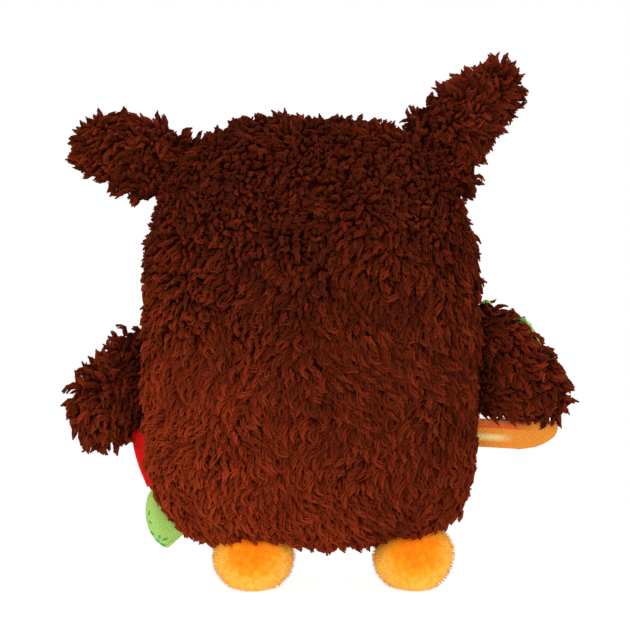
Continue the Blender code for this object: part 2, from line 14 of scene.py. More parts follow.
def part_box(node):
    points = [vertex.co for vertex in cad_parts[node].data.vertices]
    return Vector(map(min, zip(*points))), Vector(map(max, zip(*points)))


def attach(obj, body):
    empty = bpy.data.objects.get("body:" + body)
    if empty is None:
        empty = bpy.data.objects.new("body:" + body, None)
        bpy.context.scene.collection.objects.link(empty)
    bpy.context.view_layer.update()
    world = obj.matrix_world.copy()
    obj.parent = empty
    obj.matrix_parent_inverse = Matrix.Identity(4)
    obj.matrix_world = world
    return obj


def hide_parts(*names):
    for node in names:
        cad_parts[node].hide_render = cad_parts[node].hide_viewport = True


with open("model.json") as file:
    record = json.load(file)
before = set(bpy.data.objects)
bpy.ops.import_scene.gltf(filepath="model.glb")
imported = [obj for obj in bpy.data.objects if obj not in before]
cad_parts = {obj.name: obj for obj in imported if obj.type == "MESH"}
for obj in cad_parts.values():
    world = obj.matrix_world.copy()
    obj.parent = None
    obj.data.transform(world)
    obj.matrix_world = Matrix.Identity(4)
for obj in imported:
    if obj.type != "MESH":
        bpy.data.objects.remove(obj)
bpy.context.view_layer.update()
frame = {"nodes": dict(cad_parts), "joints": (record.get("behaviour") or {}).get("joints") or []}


# Pile of the plush: curly polyester, knitted into its backing and tumbled into small locks. On the
# head and shoulders the locks stand on end as nubs, and lower down they lie as longer waves. Each
# lock is a few strands wound round each other.

def linear(hex_colour):
    """A colour written as sRGB hex, in the linear values that a shader takes."""
    values = [int(hex_colour[i : i + 2], 16) / 255 for i in (1, 3, 5)]
    return [v / 12.92 if v <= 0.04045 else ((v + 0.055) / 1.055) ** 2.4 for v in values] + [1.0]


MATHS, VECTORS = "ShaderNodeMath", "ShaderNodeVectorMath"
NOISE, MIX = "ShaderNodeTexNoise", "ShaderNodeMix"


def set_inputs(node, values):
    """Sets a node's inputs, or links them where the value is another node's output."""
    for socket, value in values.items():
        if isinstance(value, bpy.types.NodeSocket):
            node.id_data.links.new(value, node.inputs[socket])
        else:
            node.inputs[socket].default_value = value


def add_node(tree, kind, *values, inputs=None, out=0, stops=(), **settings):
    """Adds a node with its settings, socket values, links and colour stops, and gives an output."""
    node = tree.nodes.new(kind)
    for name, value in settings.items():
        setattr(node, name, value)
    set_inputs(node, dict(enumerate(values)) | (inputs or {}))
    for _ in stops[2:]:
        node.color_ramp.elements.new(0.5)
    for index, (at, colour) in enumerate(stops):
        node.color_ramp.elements[index].position = at
        node.color_ramp.elements[index].color = linear(colour)
    return node.outputs[out] if node.outputs else node


def new_material(name, roughness, specular=0.5, sheen=0.0):
    """A material with its finish, what adds a node to it, and its shader."""
    material = bpy.data.materials.new(name)
    material.use_nodes = True
    tree = material.node_tree
    shader = tree.nodes["Principled BSDF"]
    set_inputs(shader, {"Roughness": roughness, "Specular IOR Level": specular, "Sheen Weight": sheen})
    return material, partial(add_node, tree), shader


def new_object(name, data, collection=None):
    obj = bpy.data.objects.new(name, data)
    (collection or bpy.context.scene.collection).objects.link(obj)
    return obj


def mesh_object(name, bm, collection=None, outward=False):
    """A finished bmesh as a smooth object, its faces turned outward if asked."""
    if outward:
        bmesh.ops.recalc_face_normals(bm, faces=bm.faces)
    mesh = bpy.data.meshes.new(name)
    bm.to_mesh(mesh)
    bm.free()
    mesh.shade_smooth()
    return new_object(name, mesh, collection)


STRAND_SIDES = 3


def strand(bm, along, path, radius):
    """One strand on a path, thickest in its middle and blunt at its tip."""
    rings = []
    last = len(path) - 1
    for i, point in enumerate(path):
        share = i / last
        thick = radius * (0.80 + 0.45 * share - 0.85 * share**4)
        ahead = path[min(i + 1, last)] - path[max(i - 1, 0)]
        side = ahead.cross(Vector((0.3, 1, 0.2))).normalized()
        front = ahead.cross(side).normalized()
        ring = []
        for corner in range(STRAND_SIDES):
            angle = 2 * pi / STRAND_SIDES * corner + share * 1.2
            vert = bm.verts.new(point + (side * cos(angle) + front * sin(angle)) * thick)
            vert[along] = share
            ring.append(vert)
        rings.append(ring)
    for low, high in zip(rings, rings[1:]):
        for corner in range(STRAND_SIDES):
            after = (corner + 1) % STRAND_SIDES
            bm.faces.new((low[corner], low[after], high[after], high[corner]))
    bm.faces.new(rings[-1])


def lock(name, collection, bend, wave, turns, spread, radius, strands, steps, phase):
    """A lock of strands one unit long, rising along Z and bending over towards X."""
    bm = bmesh.new()
    along = bm.verts.layers.float.new("along")
    for which in range(strands):
        path = []
        spot = Vector((0, 0, 0))
        for i in range(steps + 1):
            share = i / steps
            tilt = bend * share**1.3
            around = phase + 2 * pi * which / strands + turns * 2 * pi * share
            apart = spread * (1.05 - 0.65 * share)
            sway = wave * share**0.5 * sin(phase + share * 7.0)
            lift = wave * share * cos(phase * 1.7 + share * 6.0)
            path.append(spot + Vector((cos(around) * apart + lift, sin(around) * apart + sway, 0)))
            spot = spot + Vector((sin(tilt), 0, cos(tilt))) * (1 - 0.10 * which) / steps
        strand(bm, along, path, radius)
    mesh_object(name, bm, collection, outward=True)


locks = bpy.data.collections.new("plush_locks")
LOCK_KINDS = 5
for kind in range(LOCK_KINDS):
    lock(
        f"lock_{kind}_nub", locks, bend=0.5 + 0.30 * kind, wave=0.08, turns=0.7, spread=0.120,
        radius=0.125, strands=3, steps=4, phase=1.3 * kind,
    )
    lock(
        f"lock_{kind + LOCK_KINDS}_wave", locks, bend=0.5 + 0.25 * kind, wave=0.13, turns=0.6,
        spread=0.105, radius=0.106, strands=3, steps=5, phase=0.9 * kind,
    )


def pile_material(name, deep, pale, sheen, tint):
    """Pile from a root darkened as painted shade between the locks to its lit tip, each lock a little deeper
    or paler than the next by its tone and painted light.
    """
    material, add, shader = new_material(name, roughness=0.9, specular=0.03, sheen=sheen)
    parts = add("ShaderNodeSeparateXYZ", add("ShaderNodeUVMap", uv_map="OFBake")).node.outputs
    # Both ramps run from root to tip, the root darker as painted shade between the locks
    low, high = [add("ShaderNodeValToRGB", parts["Y"], stops=stops) for stops in (deep, pale)]
    mix = add(MIX, inputs={0: parts["X"], 6: low, 7: high}, out=2, data_type="RGBA")
    set_inputs(shader, {"Base Color": mix, "Sheen Tint": linear(tint), "Sheen Roughness": 0.5})
    return material


# Each ramp darker at the root as painted shade between the locks
brown_pile = pile_material(
    "reddish_brown_pile",
    deep=[(0.0, "#2e0d05"), (0.35, "#320f06"), (0.7, "#361107"), (1.0, "#3a1408")],
    pale=[(0.0, "#6c220e"), (0.35, "#792710"), (0.7, "#8f3114"), (1.0, "#9c3a19")],
    sheen=0.35,
    tint="#b8441a",
)

PILE_FIELDS = (
    ("lean", "FLOAT_VECTOR"), ("nubs", "FLOAT"), ("cover", "FLOAT"),
    ("tone", "FLOAT"), ("zone", "FLOAT"), ("stature", "FLOAT"),
)
LOCKS_TRIED = 5.0  # for each square of the spacing, so that they fill the cloth evenly


def pile_tree(name, collection, kinds_each, material):
    """Scatters locks over a backing, whose fields say how they lean, stand and curl, and how deep or pale
    they are, with painted light and shade.
    """
    tree = bpy.data.node_groups.new(name, "GeometryNodeTree")
    for socket, kind, value in (
        ("Backing", "NodeSocketGeometry", None),
        ("Zone", "NodeSocketInt", 0),
        ("Spacing", "NodeSocketFloat", 0.00180),
        ("Nub Length", "NodeSocketFloat", 0.0072),
        ("Wave Length", "NodeSocketFloat", 0.0090),
        ("Tousle", "NodeSocketFloat", 0.9),
        ("Seed", "NodeSocketInt", 1),
    ):
        made = tree.interface.new_socket(socket, in_out="INPUT", socket_type=kind)
        if value is not None:
            made.default_value = value
    tree.interface.new_socket("Pile", in_out="OUTPUT", socket_type="NodeSocketGeometry")
    add = partial(add_node, tree)
    given = add("NodeGroupInput").node.outputs
    field = {
        key: add("GeometryNodeInputNamedAttribute", inputs={"Name": key}, data_type=kind)
        for key, kind in (*PILE_FIELDS, ("shade", "FLOAT"), ("along", "FLOAT"))
    }
    chance = {}
    for what, kind, low, high, offset in (
        ("spin", "FLOAT", -1.1, 1.1, 3),
        ("curl", "FLOAT", 0.0, 1.0, 5),
        ("pick", "INT", 0, kinds_each - 1, 7),
        ("size", "FLOAT", 0.72, 1.18, 9),
        ("shade", "FLOAT", -0.21, 0.21, 11),
    ):
        first, out = {"FLOAT": (2, 1), "INT": (4, 2)}[kind]
        seed = add(MATHS, given["Seed"], offset, operation="ADD")
        limits = {first: low, first + 1: high, "Seed": seed}
        chance[what] = add("FunctionNodeRandomValue", inputs=limits, out=out, data_type=kind)

    in_zone = add(
        "FunctionNodeCompare", field["zone"], given["Zone"], inputs={"Epsilon": 0.4},
        data_type="FLOAT", operation="EQUAL",
    )
    density = add(MATHS, given["Spacing"], given["Spacing"], operation="MULTIPLY")
    density = add(MATHS, LOCKS_TRIED, density, operation="DIVIDE")
    points = add(
        "GeometryNodeDistributePointsOnFaces",
        inputs={
            "Mesh": given["Backing"], "Selection": in_zone, "Distance Min": given["Spacing"],
            "Density Max": density, "Density Factor": field["cover"], "Seed": given["Seed"],
        },
        distribute_method="POISSON",
    ).node.outputs
    normal = points["Normal"]

    place = add("GeometryNodeInputPosition")
    # Locks swirl in patches of 14 and 5 mm
    drift = []
    for scale, strength in ((70.0, 1.0), (190.0, 0.85)):
        swirl = {"Vector": place, "Scale": scale, "Detail": 1.0}
        swirl = add(NOISE, inputs=swirl, out="Color")
        centred = add(VECTORS, swirl, (0.5, 0.5, 0.5), operation="SUBTRACT")
        drift.append(add(VECTORS, centred, (2 * strength,) * 3, operation="MULTIPLY"))
    swirls = add(VECTORS, *drift, operation="ADD")
    swirls = add(VECTORS, swirls, inputs={"Scale": given["Tousle"]}, operation="SCALE")
    leaning = add(VECTORS, normal, field["lean"], operation="ADD")
    leaning = add(VECTORS, leaning, swirls, operation="ADD")
    # A lock may lie down but never points back through the cloth
    lift = add(VECTORS, leaning, normal, out="Value", operation="DOT_PRODUCT")
    short = add(MATHS, 0.55, lift, operation="SUBTRACT")
    short = add(MATHS, short, 0.0, operation="MAXIMUM")
    raised = add(VECTORS, normal, inputs={"Scale": short}, operation="SCALE")
    way = add(VECTORS, leaning, raised, operation="ADD")
    way = add(VECTORS, way, operation="NORMALIZE")
    bent = add(VECTORS, field["lean"], swirls, operation="ADD")
    turned = add(
        "FunctionNodeAxesToRotation", inputs={"Primary Axis": way, "Secondary Axis": bent},
        primary_axis="Z", secondary_axis="X",
    )
    spin = {"Axis": (0, 0, 1), "Angle": chance["spin"]}
    spin = add("FunctionNodeAxisAngleToRotation", inputs=spin)
    turned = {"Rotation": turned, "Rotate By": spin}
    turned = add("FunctionNodeRotateRotation", inputs=turned, rotation_space="LOCAL")

    standing = add(MATHS, field["nubs"], chance["curl"], operation="GREATER_THAN")
    waved = add(MATHS, 1.0, standing, operation="SUBTRACT")
    waved = add(MATHS, waved, kinds_each, operation="MULTIPLY")
    pick = add(MATHS, chance["pick"], waved, operation="ADD")
    length = {"Switch": standing, "False": given["Wave Length"], "True": given["Nub Length"]}
    length = add("GeometryNodeSwitch", inputs=length, input_type="FLOAT")
    size = add(MATHS, length, chance["size"], operation="MULTIPLY")
    size = add(MATHS, size, field["stature"], operation="MULTIPLY")
    kinds = {"Collection": collection, "Separate Children": True, "Reset Children": True}
    kinds = add("GeometryNodeCollectionInfo", inputs=kinds)
    planted = add(
        "GeometryNodeInstanceOnPoints",
        inputs={
            "Points": points["Points"], "Instance": kinds, "Pick Instance": True, "Instance Index": pick,
            "Rotation": turned, "Scale": size,
        },
    )
    shade = add(MATHS, field["tone"], chance["shade"], operation="ADD")
    shade = add(MATHS, shade, 0.02, operation="MAXIMUM")
    shade = add(MATHS, shade, 0.93, operation="MINIMUM")
    toned = {"Geometry": planted, "Name": "shade", "Value": shade}
    toned = add("GeometryNodeStoreNamedAttribute", inputs=toned, data_type="FLOAT", domain="INSTANCE")
    real = add("GeometryNodeRealizeInstances", toned)
    # The colour chart is laid out by tone, with its painted light and shade, across and by place on the lock
    # up, each corner a little apart
    across = add(MATHS, add("GeometryNodeInputIndex"), 4.0, operation="MODULO")
    across = add(MATHS, across, 0.015, operation="MULTIPLY")
    across = add(MATHS, field["shade"], across, operation="ADD")
    chart = add("ShaderNodeCombineXYZ", across, field["along"])
    mapped = {"Geometry": real, "Name": "OFBake", "Value": chart}
    mapped = add("GeometryNodeStoreNamedAttribute", inputs=mapped, data_type="FLOAT2", domain="CORNER")
    dyed = add("GeometryNodeSetMaterial", inputs={"Geometry": mapped, "Material": material})
    add("NodeGroupOutput", dyed)
    return tree


plush_pile = pile_tree("curly_pile", locks, LOCK_KINDS, brown_pile)


def made_real(obj):
    """Puts the object's evaluated mesh in place of its modifiers."""
    graph = bpy.context.evaluated_depsgraph_get()
    mesh = bpy.data.meshes.new_from_object(obj.evaluated_get(graph))
    obj.modifiers.clear()
    obj.data = mesh


def dress(obj, body, slot, *nodes, cloth=None):
    """Has a piece wear its cloth, ride on its body and stand for its CAD nodes; its slot is not used."""
    if cloth:
        obj.data.materials.append(cloth)
    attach(obj, body)
    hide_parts(*nodes)


def grow_pile(name, backing, body, nodes, slot, tree=plush_pile, **sizes):
    """The pile of one zone of a backing, as one mesh that moves with its body."""
    obj = new_object(name, backing.data)
    modifier = obj.modifiers.new("pile", "NODES")
    modifier.node_group = tree
    sockets = {item.name: item.identifier for item in tree.interface.items_tree if item.in_out == "INPUT"}
    for socket, value in sizes.items():
        modifier[sockets[socket.replace("_", " ").title()]] = value
    made_real(obj)
    dress(obj, body, slot, *nodes)


def cad_form(name, nodes, voxel, smoothing, balls=()):
    """One closed form over some CAD solids and any balls of stuffing, with the gaps closed."""
    bm = bmesh.new()
    for node in nodes:
        bm.from_mesh(frame["nodes"][node].data)
    for ball in balls:
        bmesh.ops.create_uvsphere(bm, u_segments=48, v_segments=32, radius=1, matrix=ball)
    bmesh.ops.remove_doubles(bm, verts=bm.verts, dist=1e-6)
    obj = mesh_object(name, bm)
    skin = obj.modifiers.new("skin", "REMESH")
    skin.mode = "VOXEL"
    skin.voxel_size = voxel
    skin.use_smooth_shade = True
    relax = obj.modifiers.new("relax", "SMOOTH")
    relax.factor = 0.5
    relax.iterations = smoothing
    made_real(obj)
    keep_largest(obj.data)
    return obj


def keep_largest(mesh):
    """Drops all but the largest shell."""
    bm = bmesh.new()
    bm.from_mesh(mesh)
    left, shells = set(bm.verts), []
    while left:
        shell, edge = set(), [left.pop()]
        while edge:
            vert = edge.pop()
            shell.add(vert)
            found = left & {link.other_vert(vert) for link in vert.link_edges}
            left -= found
            edge.extend(found)
        shells.append(shell)
    shells.sort(key=len)
    for shell in shells[:-1]:
        bmesh.ops.delete(bm, geom=list(shell), context="VERTS")
    bm.to_mesh(mesh)
    bm.free()


THIN_SHARE = 0.34  # of a thin form's own thickness, which its pile's depth may take up


def sink(mesh, depth, kept=None):
    """Draws a form in by the depth of its pile, or less where it is thin or kept out."""
    bm = bmesh.new()
    bm.from_mesh(mesh)
    tree = BVHTree.FromBMesh(bm)
    bm.free()
    moves = []
    for vert in mesh.vertices:
        inward = -vert.normal
        hit = tree.ray_cast(vert.co + inward * 1e-4, inward)[3]
        moves.append(min(depth, (hit or 1.0) * THIN_SHARE) - (kept(vert.co) if kept else 0.0))
    spots = [vert.co - vert.normal * move for vert, move in zip(mesh.vertices, moves)]
    for vert, spot in zip(mesh.vertices, spots):
        vert.co = spot
    return moves


def store_fields(mesh, rows):
    """Keeps the pile's fields, one row of them for each vertex."""
    for (name, kind), values in zip(PILE_FIELDS, zip(*rows)):
        layer = mesh.attributes.new(name, kind, "POINT")
        flat = np.array(values, np.float32).ravel()
        layer.data.foreach_set("vector" if kind == "FLOAT_VECTOR" else "value", flat)


def smoothstep(low, high, value):
    share = max(0.0, min(1.0, (value - low) / (high - low)))
    return share * share * (3 - 2 * share)


# Body: one pillow for head and body, of two plush panels sewn face to face and turned, filled with
# loose fibre. The knitted backing shows only between the locks; its dark brown is partly painted shade deep
# in the pile.

SEAM_Y = frame["joints"][0]["pos_m"][1]
body_low, body_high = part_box("back_panel")
BODY_X = (body_low.x + body_high.x) / 2
BODY_Z = (body_low.z + body_high.z) / 2
BODY_HALF_WIDTH = (body_high.x - body_low.x) / 2
BODY_HALF_HEIGHT = (body_high.z - body_low.z) / 2
PILE_DEPTH = 0.0060
BODY_VOXEL = 0.004

backing_material, add, shader = new_material("brown_knitted_backing", roughness=1.0, specular=0.05)
# Knitted loops, about 1.4 mm across
knit = {"Vector": add("ShaderNodeTexCoord", out="Object"), "Scale": 700.0}
knit = add("ShaderNodeTexVoronoi", inputs=knit)
# Both browns are dark partly as painted shade where the backing shows deep between the locks
knit = add("ShaderNodeValToRGB", knit, stops=[(0.0, "#3a1007"), (1.0, "#2a0b05")])
set_inputs(shader, {"Base Color": knit})

face_and_belly = []
for node, margin in (
    ("left_eye_disc", 0.0006), ("right_eye_disc", 0.0006), ("beak", -0.0010), ("belly_patch", 0.0006),
):
    low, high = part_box(node)
    half_width, half_height = (high.x - low.x) / 2 - margin, (high.z - low.z) / 2 - margin
    face_and_belly.append(((low + high) / 2, half_width, half_height))


def under_applique(point):
    """How far inside the outline of a piece on the front a point lies: 1 or more is outside."""
    if point.y > SEAM_Y:
        return 9.0
    return min(
        hypot((point.x - spot.x) / half_width, (point.z - spot.z) / half_height)
        for spot, half_width, half_height in face_and_belly
    )


def body_share(point):
    """How far across and up the body a point lies, from its middle."""
    return (point.x - BODY_X) / BODY_HALF_WIDTH, (point.z - BODY_Z) / BODY_HALF_HEIGHT


def standing_share(point):
    """How much of the pile stands on end at a place; lower down it lies flat."""
    across, up = body_share(point)
    return smoothstep(-0.18, 0.55, up + 0.10 * across + 0.30 * noise.noise(point * 40))


def fuller(point):
    """How far the backing stands out at the lower corners, and where the pile above it lies flat."""
    across, up = body_share(point)
    # The photo's lower right corner is squarer, and its crown is highest left of the middle
    corner = (0.0030 if across < 0 else 0.0004) * smoothstep(0.50, 0.95, abs(across) * -up)
    corner += 0.0025 * exp(-(((across - 0.26) / 0.17) ** 2)) * smoothstep(0.85, 1.0, up)
    return corner + 0.0016 * smoothstep(0.8, 1.0, -up) + 0.0018 * (1 - standing_share(point))


BODY_NODES = ("back_panel", "front_panel", "body_filling")
body_backing = cad_form("body_backing", BODY_NODES, BODY_VOXEL, smoothing=4)
sink(body_backing.data, PILE_DEPTH, kept=fuller)
rows = []
for vert in body_backing.data.vertices:
    point, normal = vert.co, vert.normal
    across, up = body_share(point)
    standing = standing_share(point)
    fall = Vector((0.30 * across, 0, -1)) * (1.25 - 0.95 * standing)
    aside, lifted = noise.noise(point * 34), noise.noise(point * 34 + Vector((9, 4, 2)))
    fall += Vector((2.0 * aside, 0, 0.8 * lifted)) * (1 - standing)
    brushed = smoothstep(0.25, 0.7, up) * smoothstep(0.25, 0.8, abs(across))
    fall += Vector((-0.9 * across, 0, -0.2)) * brushed
    clear = under_applique(point)
    # Painted light and shade in the tone below: lighter towards the lower left and lower down, darker towards
    # the top and where nubs stand; its noise is random tone
    painted_light_low_left = smoothstep(0.2, 1.3, across - up)
    side = 0 if across < -0.02 else 1
    level = 0 if up < 0.0 else 1
    rows.append((
        fall - normal * fall.dot(normal),
        standing,
        1.0 if clear > 1 else 0.0,
        0.22 - 0.20 * up + 0.40 * painted_light_low_left - 0.05 * standing + 0.12 * noise.noise(point * 60),
        side + 2 * level + (4 if point.y < SEAM_Y else 0),
        1.0 + 0.25 * (1 - smoothstep(1.0, 1.2, clear)),
    ))
store_fields(body_backing.data, rows)
zone = 0
for panel, face in (("back_panel", "back"), ("front_panel", "front")):
    for place in ("lower_right", "lower_left", "upper_right", "upper_left"):
        name = f"{face}_pile_{place}"
        grow_pile(name, body_backing, "torso", [panel], "brown_plush", zone=zone, seed=zone + 1)
        zone += 1
dress(body_backing, "torso", "brown_plush", "back_panel", "front_panel", cloth=backing_material)


# Filling: white polyester fibre inside the body, the ears and the feet, and thin wadding of it in the
# wings and the leaf. None of it shows. A wing's own follows its cover, further on.

fibre, add, shader = new_material("white_polyester_fibre", roughness=1.0)
# Tangles of fibre, about 1 mm across
tangle = {"Vector": add("ShaderNodeTexCoord", out="Object"), "Scale": 900.0, "Detail": 4.0, "Distortion": 2.0}
tangle = add(NOISE, inputs=tangle)
whites = {0: tangle, 6: linear("#d9d9d4"), 7: linear("#fbfbf8")}
set_inputs(shader, {"Base Color": add(MIX, inputs=whites, out=2, data_type="RGBA")})
for node, solid in frame["nodes"].items():
    if node.endswith(("_filling", "_wadding")):
        solid.data.materials.clear()
        solid.data.materials.append(fibre)


# Ears: two plush covers each, lightly filled, with the open end caught in the body's seam. The
# owl's left ear has flopped sideways and the right one stands up.

def limb_frame(joint_name):
    """A limb's root, the way it points out of the seam, and the way along the seam."""
    joint = next(joint for joint in frame["joints"] if joint["name"] == joint_name)
    along = Vector(joint["axis"]).normalized()
    return Vector(joint["pos_m"]), Vector((0, 1, 0)).cross(along), along


LIMB_VOXEL = 0.0014


def limb_coat(
    name, joint_name, nodes, plush_nodes, depth, reach, tone, root_reach, root_flares, droop, lean_share,
    nubs, length_share, drop, rooted_share=0.0, tip_flare=0.0, one_sided=False, **sizes,
):
    """The backing of a plush limb and its pile, which fans out towards the limb's tip and edges."""
    root, outward, along = limb_frame(joint_name)
    backing = cad_form(f"{name}_backing", nodes, LIMB_VOXEL, smoothing=5)
    verts = backing.data.vertices
    front = {vert.index: vert.co.y for vert in verts if one_sided and vert.normal.y < 0}
    moves = sink(backing.data, depth)
    for i, level in front.items():
        verts[i].co.y = level
    middle = sum((vert.co - root).dot(along) for vert in verts) / len(verts)
    for vert in verts:
        within = 1 - smoothstep(0.0, 0.40, (vert.co - root).dot(outward) / reach)
        astray = ((vert.co - root).dot(along) - middle) / (reach / 2)
        flare = root_flares[0] if astray * along.z < 0 else root_flares[1]
        vert.co -= (outward * root_reach - along * astray * flare) * within
        station = max(0.0, (vert.co - root).dot(outward))
        vert.co -= outward * station * (1 - length_share) + Vector((0, 0, drop * station / reach))
        tipped = smoothstep(0.4, 0.9, station / reach) * (0.35 + 0.65 * max(0.0, astray))
        vert.co += (along + outward * 0.8) * tip_flare * tipped
    rows = []
    for vert, move in zip(verts, moves):
        point, normal = vert.co, vert.normal
        station = (point - root).dot(outward) / reach
        astray = ((point - root).dot(along) - middle) / (reach / 2)
        fan = outward * (0.8 - 0.5 * station) + along * astray * 0.45 + droop
        # Near the root the pile is shorter and its tone darker, as painted shade in the hollow between limb
        # and body
        rooted = rooted_share * (1 - smoothstep(0.0, 0.35, station))
        lined = one_sided and normal.y < -0.7 and station > 0.02
        rows.append((
            (fan - normal * fan.dot(normal)) * lean_share,
            nubs[0] + (nubs[1] - nubs[0]) * station,
            0.0 if lined else 1.0,
            tone - 0.6 * rooted + 0.12 * noise.noise(point * 70),
            0.0,
            (0.68 + 0.26 * move / depth) * (1 - 0.5 * rooted),
        ))
    store_fields(backing.data, rows)
    grow_pile(f"{name}_pile", backing, name, plush_nodes, "brown_plush", zone=0, seed=len(name), **sizes)
    dress(backing, name, "brown_plush", *plush_nodes, cloth=backing_material)
    return backing


for side, root_flares, length_share, drop, tip_flare in (
    ("left", (0.010, 0.002), 0.97, -0.0025, 0.0),
    ("right", (0.014, 0.009), 0.95, 0.0, 0.009),
):
    ear = f"{side}_ear"
    covers = [f"{ear}_back_cover", f"{ear}_front_cover"]
    limb_coat(
        ear, f"{ear}_flop", [*covers, f"{ear}_filling"], covers,
        depth=0.0052, reach=0.052, tone=0.17, root_reach=0.012, root_flares=root_flares,
        droop=Vector((0, 0, -0.3)), lean_share=0.35, nubs=(0.75, 0.85), length_share=length_share,
        drop=drop, tip_flare=tip_flare, spacing=0.0016,
    )


# Wings: plush behind and a printed cotton lining in front, thinly wadded. The lining is sewn to the
# plush round the edge and turned, so a rim of green shows from behind where the wing twists.

COTTON_THICKNESS = 0.0007
# Each dash of a print: x and z in mm, angle in degrees, half its length and width in mm
SPRIG = (
    (0.0, 0.0, 90, 2.1, 0.50), (-1.2, -0.5, 122, 1.7, 0.45), (1.2, -0.5, 58, 1.7, 0.45),
    (-2.0, -1.7, 150, 1.4, 0.40), (2.0, -1.7, 30, 1.4, 0.40), (0.1, -2.9, 95, 1.0, 0.35),
)


def printed_cotton(name, cell, spots, strokes=SPRIG):
    """Light green cotton with small oval cells woven in, printed with sprigs of short dashes."""
    material, add, shader = new_material(name, roughness=0.85, specular=0.2, sheen=0.15)
    place = add("ShaderNodeTexCoord", out="Object")
    # Cells 0.8 by 1.4 mm on the bias, of threads about 0.3 mm thick
    stretched = {"Vector": place, "Rotation": (0, radians(45), 0), "Scale": (1250, 0, 720)}
    stretched = add("ShaderNodeMapping", inputs=stretched)
    cells = {"Vector": stretched, "Scale": 1.0, "Randomness": 0.22}
    cells = add("ShaderNodeTexVoronoi", inputs=cells, out="Distance")
    gaps = add("ShaderNodeMapRange", cells, 0.25, 0.7, 0.0, 1.0)
    threads = add(NOISE, inputs={"Vector": place, "Scale": 3500.0, "Detail": 2.0})
    patches = add(NOISE, inputs={"Vector": place, "Scale": 60.0, "Detail": 2.0})
    faded = add(MATHS, patches, 0.35, operation="MULTIPLY")
    masks = []
    for shift in spots:
        local = add(VECTORS, place, shift, operation="SUBTRACT")
        if cell:
            half = Vector((cell / 2, 1.0, cell / 2))
            local = add(VECTORS, local, half, -half, operation="WRAP")
        for x, z, angle, half_length, half_width in strokes:
            stroke = {
                "Vector": local,
                "Location": (x / 1000, 0, z / 1000),
                "Rotation": (0, -radians(angle), 0),
                "Scale": (half_length / 1000, 10.0, half_width / 1000),
            }
            stroke = add("ShaderNodeMapping", inputs=stroke, vector_type="TEXTURE")
            reach = add(VECTORS, stroke, out="Value", operation="LENGTH")
            masks.append(add(MATHS, reach, 1.0, operation="LESS_THAN"))
    printed = masks[0]
    for mask in masks[1:]:
        printed = add(MATHS, printed, mask, operation="MAXIMUM")
    worn = add(MATHS, printed, 0.85, operation="MULTIPLY")
    cloth = linear("#a2ca64")
    for share, over in ((gaps, "#75a239"), (faded, "#aacf72"), (worn, "#1f8f49")):
        cloth = add(MIX, inputs={0: share, 6: cloth, 7: linear(over)}, out=2, data_type="RGBA")
    height = add(MATHS, cells, 0.7, operation="MULTIPLY")
    height = add(MATHS, threads, 0.25, height, operation="MULTIPLY_ADD")
    bump = add("ShaderNodeBump", inputs={"Height": height, "Strength": 0.55, "Distance": 0.0005})
    set_inputs(shader, {"Base Color": cloth, "Normal": bump})
    return material


lining_cotton = printed_cotton("green_sprig_cotton", 0.015, [(0, 0, 0), (0.0075, 0, 0.0075)])
WING_REACH = 0.042


def surface_tree(mesh):
    """A mesh's faces, to find the nearest of them or to cast rays at."""
    corners = [vert.co for vert in mesh.vertices]
    return BVHTree.FromPolygons(corners, [face.vertices for face in mesh.polygons])


def fitted_wadding(wing, cover, length_share, drop):
    """A wing's wadding, as short as the finished cover and everywhere inside it."""
    root, outward, _ = limb_frame(f"{wing}_swing")
    shell = surface_tree(cover.data)
    wadding = new_object(f"{wing}_stuffing", frame["nodes"][f"{wing}_wadding"].data.copy())
    inside = 0.0004
    for vert in wadding.data.vertices:
        station = max(0.0, (vert.co - root).dot(outward))
        vert.co -= outward * station * (1 - length_share) + Vector((0, 0, drop * station / WING_REACH))
        near, normal, _, _ = shell.find_nearest(vert.co)
        if (near - vert.co).dot(normal) < inside:
            vert.co = near - normal * inside
    dress(wadding, wing, "polyester_fibre", f"{wing}_wadding")


def cut_lining(wing, backing, rolls):
    """The front of a wing's backing as one sheet of cotton, rolled out past the plush in places."""
    bm = bmesh.new()
    bm.from_mesh(backing.data)
    root, outward, _ = limb_frame(f"{wing}_swing")
    off = []
    for face in bm.faces:
        spot = face.calc_center_median()
        rolled = any(abs(spot.x - place) < width and face.normal.z > 0.2 for place, width, height in rolls)
        behind = spot.y > SEAM_Y + (0.0004 if rolled else -0.0008)
        if behind or (spot - root).dot(outward) < 0.0 or face.normal.dot(outward) < -0.6:
            off.append(face)
    bmesh.ops.delete(bm, geom=off, context="FACES")
    for vert in bm.verts:
        rim = exp(-(((vert.co.y - SEAM_Y) / 0.0022) ** 2))
        pucker = sin(vert.co.z * 1300 + vert.co.x * 900)
        vert.co += vert.normal * (0.0006 + 0.00025 * rim * pucker)
        for spot, width, height in rolls:
            near = exp(-(((vert.co.x - spot) / width) ** 2)) * max(vert.normal.z, 0.0) ** 0.5
            vert.co.z += height * rim * near
    lining = mesh_object(f"{wing}_lining", bm)
    wall = lining.modifiers.new("wall", "SOLIDIFY")
    wall.thickness = COTTON_THICKNESS
    wall.offset = 0
    made_real(lining)
    dress(lining, wing, "green_print", f"{wing}_printed_lining", cloth=lining_cotton)


